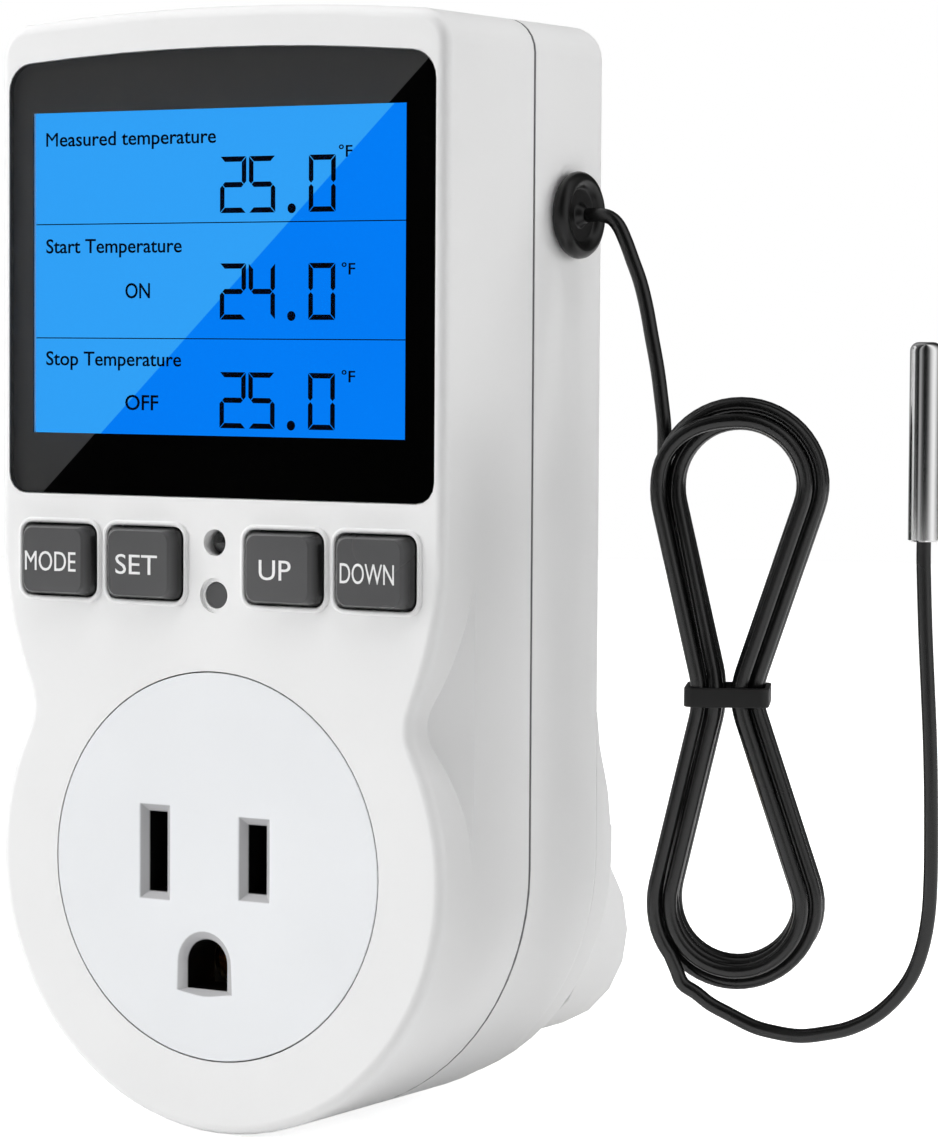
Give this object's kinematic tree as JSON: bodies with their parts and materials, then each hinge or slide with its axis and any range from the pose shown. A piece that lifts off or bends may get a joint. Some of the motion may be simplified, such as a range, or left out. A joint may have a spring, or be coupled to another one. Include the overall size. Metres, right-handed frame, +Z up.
{
  "type": "plug-in temperature controller",
  "caption": "Plug-in outlet controller with a blue display, keys, a grounded socket, a rear plug and a steel temperature probe on a bound cord.",
  "frame": {"origin": "centre of the rear face of the plug's base, the face that meets the wall outlet", "axes": "+Z up along the housing, +Y out of the plug's face into the wall, +X to the right as seen from the front; the front face looks along -Y"},
  "size_m": [0.0996, 0.0689, 0.1178],
  "materials": {
    "housing_white": "fine satin",
    "socket_white": "satin",
    "window_clear": "polished",
    "border_black": "gloss",
    "display_blue": "lit",
    "light_guide": "gloss",
    "holder_white": "matt",
    "strip_rubber": "matt",
    "board_green": "lacquered",
    "chip_black": "matt",
    "key_grey": "satin",
    "reset_grey": "satin",
    "plunger_red": "satin",
    "led_clear": "clear",
    "board_tan": "lacquered",
    "relay_blue": "satin",
    "film_yellow": "gloss",
    "can_dark": "sleeve",
    "fuse_dark": "matt",
    "link_tin": "tinned",
    "carrier_cream": "matt",
    "brass": "bright",
    "lead_black": "matt",
    "screw_steel": "zinc",
    "gland_rubber": "satin",
    "cord_black": "satin",
    "tie_black": "matt",
    "probe_steel": "polished",
    "potting_black": "matt",
    "bead_brown": "gloss"
  },
  "bodies": {
    "housing": {"front_shell": "housing_white", "rear_shell": "housing_white", "plug_base": "housing_white", "socket_face": "socket_white", "display_window": "window_clear", "window_mask": "border_black", "lcd_panel": "display_blue", "lcd_backlight": "light_guide", "lcd_holder": "holder_white", "contact_strips": "strip_rubber", "control_board": "board_green", "control_chips": "chip_black", "switch_bodies": "chip_black", "power_diodes": "chip_black", "indicator_led": "led_clear", "power_board": "board_tan", "relay": "relay_blue", "film_capacitor": "film_yellow", "electrolytic_capacitors": "can_dark", "fuse": "fuse_dark", "board_link": "link_tin", "contact_carrier": "carrier_cream", "lead_connector": "carrier_cream", "line_contact": "brass", "neutral_contact": "brass", "ground_contact": "brass", "line_blade": "brass", "neutral_blade": "brass", "ground_pin": "brass", "mains_leads": "lead_black", "housing_screws": "screw_steel", "control_board_screws": "screw_steel", "power_board_screws": "screw_steel", "plug_base_screws": "screw_steel", "cord_gland": "gland_rubber", "inner_lead": "cord_black", "probe_lead": "cord_black", "probe_hank": "cord_black", "probe_tail": "cord_black", "hank_tie": "tie_black", "probe_tube": "probe_steel", "probe_potting": "potting_black", "thermistor_bead": "bead_brown"},
    "mode_key": {"mode_button": "key_grey", "mode_plunger": "plunger_red"},
    "set_key": {"set_button": "key_grey", "set_plunger": "plunger_red"},
    "up_key": {"up_button": "key_grey", "up_plunger": "plunger_red"},
    "down_key": {"down_button": "key_grey", "down_plunger": "plunger_red"},
    "reset_key": {"reset_button": "reset_grey", "reset_plunger": "plunger_red"}
  },
  "joints": [
    {"name": "mode_press", "type": "slide", "parent": "housing", "child": "mode_key", "axis": [0, 1, 0], "range_m": [0, 0.0005], "stiffness_N_per_m": 1500},
    {"name": "set_press", "type": "slide", "parent": "housing", "child": "set_key", "axis": [0, 1, 0], "range_m": [0, 0.0005], "stiffness_N_per_m": 1500},
    {"name": "up_press", "type": "slide", "parent": "housing", "child": "up_key", "axis": [0, 1, 0], "range_m": [0, 0.0005], "stiffness_N_per_m": 1500},
    {"name": "down_press", "type": "slide", "parent": "housing", "child": "down_key", "axis": [0, 1, 0], "range_m": [0, 0.0005], "stiffness_N_per_m": 1500},
    {"name": "reset_press", "type": "slide", "parent": "housing", "child": "reset_key", "axis": [0, 1, 0], "range_m": [0, 0.0005], "stiffness_N_per_m": 1500}
  ]
}
